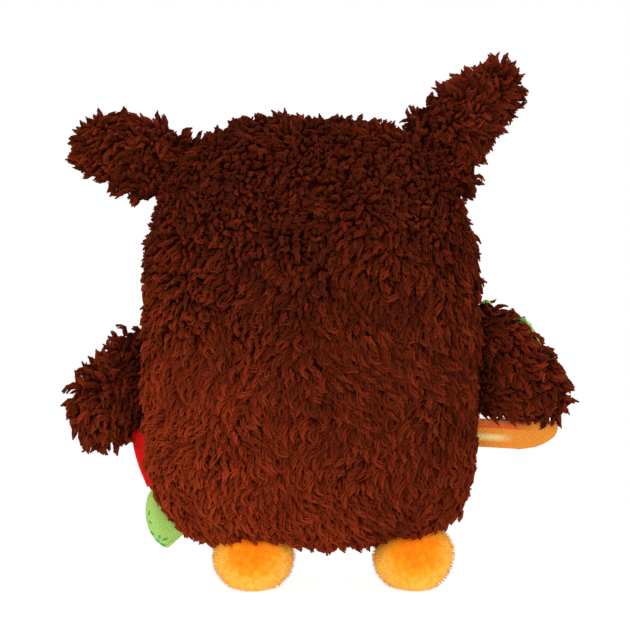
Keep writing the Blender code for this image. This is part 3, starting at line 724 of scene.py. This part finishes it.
for side, flat, area, length_share, drop, rolls in (
    ("left", (0.040, 0.054), 0.0016, 0.87, 0.0030, ()),
    ("right", (0.050, 0.062), 0.0024, 0.90, 0.0035, ((-0.0788, 0.003, 0.0006), (-0.0990, 0.008, 0.0105))),
):
    wing = f"{side}_wing"
    wing_nodes = [f"{wing}_plush_back", f"{wing}_printed_lining", f"{wing}_wadding"]
    wing_backing = limb_coat(
        wing, f"{wing}_swing", wing_nodes, wing_nodes[:1],
        depth=0.0046, reach=WING_REACH, tone=0.25, root_reach=0.005, root_flares=(0.004, 0.003),
        droop=Vector((0, 0, -0.6)), lean_share=0.6, nubs=(0.35, 0.65), length_share=length_share,
        drop=drop, rooted_share=0.45, one_sided=True, spacing=0.0019, wave_length=0.0104,
        nub_length=0.0086, tousle=1.1,
    )
    cut_lining(wing, wing_backing, rolls)
    fitted_wadding(wing, wing_backing, length_share, drop)


# Feet: a ball of orange velour each, of a heel and a toe piece sewn round the sides, stuffed firm.
# The velour's short pile catches the light at the rim, which is also painted paler as painted light, and the
# foot's top deeper as painted shade.

BALL_HALF_HEIGHT = 0.0150
velour_tufts = bpy.data.collections.new("velour_tufts")
for kind in range(2):
    lock(
        f"velour_{kind}_tuft", velour_tufts, bend=0.25 + 0.4 * kind, wave=0, turns=0, spread=0, radius=0.13,
        strands=1, steps=1, phase=kind,
    )
# Tufts darker at the root as painted shade among them, and deep or pale by each foot's painted shade and
# light
velour_pile = pile_tree("short_pile", velour_tufts, 1, pile_material(
    "orange_velour_pile",
    deep=[(0.0, "#fb7c04"), (0.5, "#ff8c0c"), (1.0, "#ff9e14")],
    pale=[(0.0, "#ff9c14"), (0.5, "#ffae20"), (1.0, "#ffca54")],
    sheen=0.7,
    tint="#ffd874",
))

velour, add, shader = new_material("orange_velour", roughness=0.9, specular=0.1, sheen=0.5)
# Grain of 0.4 mm, coarser than real velour's, so that it shows
grain = {"Vector": add("ShaderNodeTexCoord", out="Object"), "Scale": 2600.0, "Detail": 1.0}
grain = add(NOISE, inputs=grain)
# Painted shade and light: the tone attribute makes each foot deeper orange at the top and paler to its rim,
# with grain on top
tone = add("ShaderNodeAttribute", out="Fac", attribute_name="tone")
grain_and_painted_light = add(MATHS, grain, 0.35, tone, operation="MULTIPLY_ADD")
velour_grain_and_light_stops = [(0.12, "#fb7804"), (0.55, "#ff9a14"), (1.0, "#ffc04c")]
set_inputs(shader, {
    "Base Color": add("ShaderNodeValToRGB", grain_and_painted_light, stops=velour_grain_and_light_stops),
    "Normal": add("ShaderNodeBump", inputs={"Height": grain, "Strength": 0.5, "Distance": 0.0004}),
    "Sheen Roughness": 0.35,
    "Sheen Tint": linear("#ffd060"),
})


def foot_ball(nodes, joint_name):
    """The ball that a foot is stuffed to: as wide as its covers, its top up in the body's pile."""
    corners = [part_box(node) for node in nodes]
    low = Vector([min(box[0][axis] for box in corners) for axis in range(3)])
    high = Vector([max(box[1][axis] for box in corners) for axis in range(3)])
    outward = limb_frame(joint_name)[1]
    half = Vector(((high.x - low.x) / 2, (high.y - low.y) / 2, BALL_HALF_HEIGHT))
    centre = Vector(((low.x + high.x) / 2, (low.y + high.y) / 2, low.z + BALL_HALF_HEIGHT - 0.0004))
    tilt = Vector((0, 0, -1)).rotation_difference(outward).to_matrix().to_4x4()
    return Matrix.Translation(centre) @ tilt @ Matrix.Diagonal(half).to_4x4()


def foot_painted_shade_and_light(nodes):
    """Painted shade and light: deep orange at the top where the body's pile shades a foot, paler down and out
    to its rim.
    """
    low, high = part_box(nodes[0])
    centre, half = (low + high) / 2, (high - low) / 2

    def tone(point):
        across = (point.x - centre.x) / half.x
        return 0.95 * smoothstep(0.1, 1.3, hypot(across, (point.z - low.z - 0.021) / 0.019))

    return tone


VELOUR_VOXEL = 0.0010


def velour_form(name, nodes, body, smoothing, spacing, length, tone_and_painted_light_at, seam=True, balls=()):
    """A stuffed velour piece, drawn in a little along its seam, and its short pile."""
    obj = cad_form(name, nodes, VELOUR_VOXEL, smoothing, balls)
    low_z = min(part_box(node)[0].z for node in nodes)
    for vert in obj.data.vertices:
        if seam:
            crease = exp(-(((vert.co.y - SEAM_Y) / 0.0011) ** 2))
            pucker = 0.6 + 0.4 * sin(vert.co.x * 2100 + vert.co.z * 1700)
            vert.co -= vert.normal * 0.0008 * crease * pucker
        vert.co.z = max(vert.co.z, low_z)
    rows = []
    for vert in obj.data.vertices:
        fall = Vector((0.25 * noise.noise(vert.co * 90), 0, -0.35))
        lean = fall - vert.normal * fall.dot(vert.normal)
        cover = 0.0 if vert.co.z < low_z + 0.0004 else 1.0
        rows.append((lean, 1.0, cover, tone_and_painted_light_at(vert.co) + 0.28 * noise.noise(vert.co * 420), 0.0, 1.0))
    store_fields(obj.data, rows)
    grow_pile(
        f"{name}_pile", obj, body, nodes, "orange_velour", tree=velour_pile,
        spacing=spacing, nub_length=length, wave_length=length, tousle=0.5, seed=3,
    )
    dress(obj, body, "orange_velour", *nodes, cloth=velour)


for side in ("left", "right"):
    foot = f"{side}_foot"
    covers = [f"{foot}_heel_cover", f"{foot}_toe_cover"]
    ball = foot_ball(covers, f"{foot}_rock")
    velour_form(
        f"{foot}_ball", covers, foot, smoothing=10, spacing=0.0010, length=0.0014, tone_and_painted_light_at=foot_painted_shade_and_light(covers),
        balls=[ball],
    )


# Leaf flap: two plies of the lining's cotton sewn round and turned, with its end in the side seam.
# A double line of the turned edge shows a little inside its rim.

# Dashes as in the sprig, and a rim in mm out from the seam and along it
LEAF_PRINT = (
    (73.0, 23.6, 90, 1.0, 0.6), (70.6, 22.5, 160, 1.6, 0.55), (71.7, 19.9, 15, 1.7, 0.6),
    (74.3, 21.6, 40, 1.4, 0.7), (76.6, 25.2, 35, 1.4, 0.6), (77.4, 30.4, 48, 1.0, 0.5),
    (68.0, 31.7, 0, 0.8, 0.6), (77.9, 34.6, 90, 1.4, 0.4),
)
LEAF_OUTLINE = (
    (-4.5, 10.5), (1.0, 9.4), (5.4, 5.6), (9.0, 0.4), (10.9, -5.0), (11.2, -10.6), (9.4, -16.0), (7.6, -16.9),
    (2.0, -16.2), (-4.5, -15.4), (-5.5, -3.0),
)
LEAF_HALF_DEPTH = 0.0018
LEAF_CREASE, LEAF_CREASE_DEPTH = 0.89, 0.00035
LEAF_RINGS = (0.985, 0.96, 0.92, 0.89, 0.86, 0.82, 0.72, 0.55, 0.35, 0.15)
leaf_cotton = printed_cotton("green_leaf_cotton", 0, [(0, 0, 0)], LEAF_PRINT)
leaf_root, leaf_out, leaf_along = limb_frame("leaf_flip")
leaf_rim = [Vector(point) / 1000 for point in LEAF_OUTLINE]
for _ in range(3):
    pairs = zip(leaf_rim, leaf_rim[1:] + leaf_rim[:1])
    leaf_rim = [spot for near, far in pairs for spot in (near.lerp(far, 0.2), near.lerp(far, 0.8))]
leaf_middle = sum(leaf_rim, Vector((0, 0))) / len(leaf_rim)


def leaf_point(spot, share, face):
    """A point of the leaf: plump in the middle, pressed flat inside its turned edge."""
    place = leaf_middle.lerp(spot, share)
    plump = LEAF_HALF_DEPTH * (1 - share**3.0) ** 0.5
    pressed = LEAF_CREASE_DEPTH * exp(-(((share - LEAF_CREASE) / 0.025) ** 2))
    sway = 0.0005 * sin(place.x * 420 + place.y * 160)
    lift = Vector((0, face * (plump - pressed * (share > 0.8)) + sway, 0))
    return leaf_root + leaf_out * place.x + leaf_along * place.y + lift


leaf_bm = bmesh.new()
rim_loop = [leaf_bm.verts.new(leaf_point(spot, 1.0, 0)) for spot in leaf_rim]
for face in (1, -1):
    outer = rim_loop
    for share in LEAF_RINGS:
        inner = [leaf_bm.verts.new(leaf_point(spot, share, face)) for spot in leaf_rim]
        for step, near in enumerate(outer):
            after = (step + 1) % len(outer)
            leaf_bm.faces.new((near, outer[after], inner[after], inner[step]))
        outer = inner
    pole = leaf_bm.verts.new(leaf_point(leaf_middle, 0.0, face))
    for near, far in zip(outer, outer[1:] + outer[:1]):
        leaf_bm.faces.new((near, far, pole))
leaf = mesh_object("leaf_flap", leaf_bm, outward=True)
dress(leaf, "leaf", "green_print", "leaf_back_ply", "leaf_front_ply", cloth=leaf_cotton)


# Label and ribbon: woven ribbons folded in half with their cut ends in the side seams. The label is
# red satin, bare on both sides; the other is orange with a fine slanting rib.

def woven_ribbon(name, ground, rib, edge, pitch, slant, sheen, bands=()):
    """A ribbon whose ribs run across it on a slant, with firm edges and bands of other colour."""
    material, add, shader = new_material(name, roughness=0.55, specular=0.15, sheen=sheen)
    place = add("ShaderNodeUVMap", uv_map="weave")
    parts = add("ShaderNodeSeparateXYZ", place).node.outputs
    slide = add(MATHS, parts["X"], slant, parts["Y"], operation="MULTIPLY_ADD")
    wave = add(MATHS, slide, 2 * pi / pitch, operation="MULTIPLY")
    ribs = add(MATHS, wave, operation="SINE")
    ribs = add(MATHS, ribs, 0.5, 0.5, operation="MULTIPLY_ADD")
    # Flecks about 1 mm long
    grain = add(NOISE, inputs={"Vector": place, "Scale": 900.0, "Detail": 2.0})
    grain = add(MATHS, grain, 0.3, operation="MULTIPLY")
    outer = add(MATHS, parts["X"], 0.5, operation="SUBTRACT")
    outer = add(MATHS, outer, operation="ABSOLUTE")
    selvedge = add(MATHS, outer, 0.455, operation="GREATER_THAN")
    layers = [(ribs, ground), (grain, rib), (selvedge, edge)]
    for low, high, soft, end, colour in bands:
        band = add("ShaderNodeMapRange", parts["X"], low - soft, low + soft)
        for way, end_of, fade in (("X", high, soft), ("Y", end, 0.004)):
            limit = add("ShaderNodeMapRange", parts[way], end_of + fade, end_of - fade)
            band = add(MATHS, band, limit, operation="MULTIPLY")
        layers.append((band, colour))
    cloth = linear(rib)
    for share, over in layers:
        cloth = add(MIX, inputs={0: share, 6: cloth, 7: linear(over)}, out=2, data_type="RGBA")
    bump = add("ShaderNodeBump", inputs={"Height": ribs, "Strength": 0.7, "Distance": 0.0004})
    set_inputs(shader, {"Base Color": cloth, "Normal": bump})
    return material


red_satin = woven_ribbon("red_satin", "#ff1c14", "#e81210", "#f4281c", pitch=0.00035, slant=0.0, sheen=0.0)
# Each band's start and end across the ribbon, softness, end along it in metres, and colour
# A paler patch near the seam, a darker band along the top edge, and a red-orange stripe below that band
RIBBON_BANDS = (
    (0.26, 0.46, 0.06, 0.0170, "#e6c47c"),
    (0.76, 1.10, 0.02, 0.0260, "#c8622c"),
    (0.69, 0.76, 0.02, 0.0260, "#e2400c"),
)
orange_rib = woven_ribbon(
    "orange_ribbed_ribbon", "#ea9632", "#c67018", "#e2862a", pitch=0.0012, slant=0.0075, sheen=0.1,
    bands=RIBBON_BANDS,
)
CAUGHT_END = 0.0045


def folded_ribbon(
    name, joint_name, body, node, slot, low, high, reach, reach_shares, spread, ply, bow, material
):
    """A ribbon folded in half: both plies from the seam under the pile out to a soft bend."""
    root, outward, along = limb_frame(joint_name)
    up = along if along.z > 0 else -along
    rows, steps, turns, width = 24, 12, 10, high - low
    bm = bmesh.new()
    weave = bm.loops.layers.uv.new("weave")
    grid = []
    for row in range(rows + 1):
        share = row / rows
        at = share * (len(reach_shares) - 1)
        under = min(int(at), len(reach_shares) - 2)
        here = reach * (reach_shares[under] + (reach_shares[under + 1] - reach_shares[under]) * (at - under))
        bend = spread / 2
        path = [-CAUGHT_END + (here - bend + CAUGHT_END) * step / steps for step in range(steps)]
        outline = [(x, bend * (0.55 + 0.45 * (x + CAUGHT_END) / (here + CAUGHT_END))) for x in path]
        arc = [pi / 2 - pi * step / turns for step in range(turns + 1)]
        outline += [(here - bend + bend * cos(angle), bend * sin(angle)) for angle in arc]
        outline += [(x, -y) for x, y in reversed(outline[:steps])]
        line, length = [], 0.0
        for index, (x, y) in enumerate(outline):
            if index:
                length += hypot(x - outline[index - 1][0], y - outline[index - 1][1])
            lift = bow * (x / reach) ** 2 * sin(pi * share + 0.6)
            spot = root + outward * x + Vector((0, y + lift, 0)) + up * (low + width * share)
            line.append((bm.verts.new(spot), length, share))
        grid.append(line)
    for lower, upper in zip(grid, grid[1:]):
        for i in range(len(lower) - 1):
            corners = (lower[i], lower[i + 1], upper[i + 1], upper[i])
            face = bm.faces.new([corner[0] for corner in corners])
            for loop, corner in zip(face.loops, corners):
                loop[weave].uv = (corner[2], corner[1])
    obj = mesh_object(name, bm, outward=True)
    wall = obj.modifiers.new("ply", "SOLIDIFY")
    wall.thickness = ply
    wall.offset = 0
    made_real(obj)
    dress(obj, body, slot, node, cloth=material)


folded_ribbon(
    "red_label_loop", "label_flip", "label", "label_loop", "red_satin", low=-0.0142, high=0.0132,
    reach=0.0043, reach_shares=(0.10, 0.30, 0.52, 0.70, 0.84, 0.93, 0.98, 1.00, 1.00), spread=0.0011,
    ply=0.0004, bow=0.0, material=red_satin,
)
folded_ribbon(
    "orange_ribbon_loop", "ribbon_flip", "ribbon", "ribbon_loop", "orange_twill", low=-0.0082, high=0.0050,
    reach=0.0366, reach_shares=(0.52, 0.74, 0.83, 0.90, 0.955, 0.985, 1.00, 1.00, 0.99), spread=0.0024,
    ply=0.0006, bow=0.0012, material=orange_rib,
)


# Face and belly: felt discs for eyes, a stuffed velour beak and a belly of the lining's cotton, all
# sewn on through the plush, whose pile is clipped away under them.

def felt(name, colour, fleck):
    """Pressed felt: short fibres every way, and a few paler flecks."""
    material, add, shader = new_material(name, roughness=0.95, specular=0.1, sheen=0.3)
    place = add("ShaderNodeTexCoord", out="Object")
    # Fibres about 0.7 mm apart, coarser than real ones, so that they show
    fibres = {"Vector": place, "Scale": 1500.0, "Detail": 4.0, "Distortion": 1.5}
    fibres = add(NOISE, inputs=fibres)
    clouds = add(NOISE, inputs={"Vector": place, "Scale": 180.0, "Detail": 2.0})
    mixed = add(MATHS, fibres, clouds, operation="MULTIPLY")
    wool = {0: mixed, 6: linear(colour), 7: linear(fleck)}
    wool = add(MIX, inputs=wool, out=2, data_type="RGBA")
    bump = add("ShaderNodeBump", inputs={"Height": fibres, "Strength": 0.6, "Distance": 0.0004})
    set_inputs(shader, {"Base Color": wool, "Normal": bump})
    return material


cream_felt = felt("cream_felt", "#eadfc2", "#fff8e4")
orange_felt = felt("orange_felt", "#e8801a", "#f8a23c")
dark_felt = felt("dark_felt", "#1c1410", "#3a2a22")

front_tree = surface_tree(frame["nodes"]["front_panel"].data)


def front_at(x, z, span=0.0):
    """The y of the body's front at a place, evened over the tufts within a span of it."""
    shifts = [(0, 0), (span, 0), (-span, 0), (0, span), (0, -span)]
    rays = [Vector((x + across, -0.2, z + up)) for across, up in shifts]
    hits = [front_tree.ray_cast(ray, Vector((0, 1, 0)))[0] for ray in rays]
    return sum(hit.y for hit in hits) / len(hits)


def sewn_disc(name, node, slot, material, root_depth, rings, around, dome=0.0006, span=0.0):
    """A disc of cloth laid on the front, its rim rounded over and its back down in the pile."""
    low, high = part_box(node)
    centre_x, centre_z = (low.x + high.x) / 2, (low.z + high.z) / 2
    half_width, half_height = (high.x - low.x) / 2, (high.z - low.z) / 2
    middle_y = front_at(centre_x, centre_z, span)
    proud = middle_y - low.y
    bm = bmesh.new()
    levels = [(ring / rings * 0.965, 0.0) for ring in range(1, rings + 1)]
    levels += [(0.99, 0.0004), (1.0, 0.0010), (1.0, proud + root_depth)]
    loops = []
    top = bm.verts.new((centre_x, middle_y - proud - dome, centre_z))
    for share, back in levels:
        loop = []
        for step in range(around):
            angle = 2 * pi * step / around
            x = centre_x + half_width * share * cos(angle)
            z = centre_z + half_height * share * sin(angle)
            lift = proud + dome * (1 - share * share)
            loop.append(bm.verts.new((x, front_at(x, z, span) - lift + back, z)))
        loops.append(loop)
    bottom = bm.verts.new((centre_x, middle_y + root_depth, centre_z))
    for step in range(around):
        after = (step + 1) % around
        bm.faces.new((top, loops[0][step], loops[0][after]))
        bm.faces.new((bottom, loops[-1][after], loops[-1][step]))
        for inner, outer in zip(loops, loops[1:]):
            bm.faces.new((inner[step], outer[step], outer[after], inner[after]))
    obj = mesh_object(name, bm, outward=True)
    dress(obj, "torso", slot, node, cloth=material)


for side in ("left", "right"):
    for piece, node, slot, cloth, root_depth, rings, around in (
        ("eye_felt", "eye_disc", "cream_felt", cream_felt, 0.0045, 10, 56),
        ("iris_felt", "iris", "orange_felt", orange_felt, -0.0026, 6, 40),
        ("pupil_felt", "pupil", "dark_felt", dark_felt, -0.0042, 4, 32),
    ):
        sewn_disc(f"{side}_{piece}", f"{side}_{node}", slot, cloth, root_depth, rings, around)
sewn_disc(
    "belly_cotton", "belly_patch", "green_print", lining_cotton, root_depth=0.0045,
    rings=18, around=96, dome=0.0, span=0.010,
)
velour_form(
    "beak_cushion", ["beak"], "torso", smoothing=5, spacing=0.0008, length=0.0012, tone_and_painted_light_at=lambda point: 0.45,
    seam=False,
)


# Stage: white ground and backdrop, soft even light, and the camera level with the owl's middle,
# behind it, at the distance of a small product studio.

camera_data = bpy.data.cameras.new("camera")
camera_data.lens = 100
camera_data.sensor_width = 36
camera = new_object("camera", camera_data)
FRAME_WIDTH = 0.2942
CAMERA_DISTANCE = FRAME_WIDTH * camera_data.lens / camera_data.sensor_width
camera.location = (0.0006, SEAM_Y + CAMERA_DISTANCE, 0.1270)
camera.rotation_euler = (radians(90), 0, radians(180))
bpy.context.scene.camera = camera

world = bpy.data.worlds.new("white_studio")
bpy.context.scene.world = world
world.use_nodes = True
world.node_tree.nodes.clear()
add = partial(add_node, world.node_tree)
rays = add("ShaderNodeLightPath").node.outputs
plain = add(MATHS, rays["Is Camera Ray"], rays["Is Glossy Ray"], operation="MAXIMUM")
plain = add(MATHS, plain, rays["Is Transmission Ray"], operation="MAXIMUM")
soft, white = [add("ShaderNodeBackground", linear("#ffffff"), power) for power in (0.55, 1.0)]
shown = add("ShaderNodeMixShader", plain, soft, white)
add("ShaderNodeOutputWorld", shown)

floor_bm = bmesh.new()
bmesh.ops.create_grid(floor_bm, x_segments=1, y_segments=1, size=3.0)
floor = mesh_object("floor", floor_bm)
ground = bpy.data.materials.new("white_ground")
ground.use_nodes = True
ground.node_tree.nodes.clear()
add = partial(add_node, ground.node_tree)
seen = add("ShaderNodeLightPath", out="Is Camera Ray")
away = add(VECTORS, add("ShaderNodeTexCoord", out="Object"), out="Value", operation="LENGTH")
far = add("ShaderNodeMapRange", away, 0.16, 0.42, 0.0, 1.0)
lit, bright = [add("ShaderNodeEmission", linear("#ffffff"), power) for power in (0.74, 1.0)]
matte = add("ShaderNodeBsdfDiffuse", linear("#a8a8a8"))
near = add("ShaderNodeAddShader", lit, matte)
white = add(MATHS, far, seen, operation="MULTIPLY")
add("ShaderNodeOutputMaterial", add("ShaderNodeMixShader", white, near, bright))
floor.data.materials.append(ground)


def softbox(name, spot, size, power):
    """A square lamp that faces the owl's middle."""
    data = bpy.data.lights.new(name, "AREA")
    data.shape = "SQUARE"
    data.size = size
    data.energy = power
    obj = new_object(name, data)
    obj.location = spot
    obj.rotation_euler = (Vector((0, 0, 0.12)) - Vector(spot)).to_track_quat("-Z", "Y").to_euler()


softbox("key_light", (0.55, 0.95, 0.75), 0.7, 9.0)
softbox("fill_light", (-0.75, 0.75, 0.35), 0.8, 4.5)
softbox("front_light", (-0.4, -1.0, 0.7), 0.8, 9.0)
bpy.context.scene.view_settings.view_transform = "Standard"
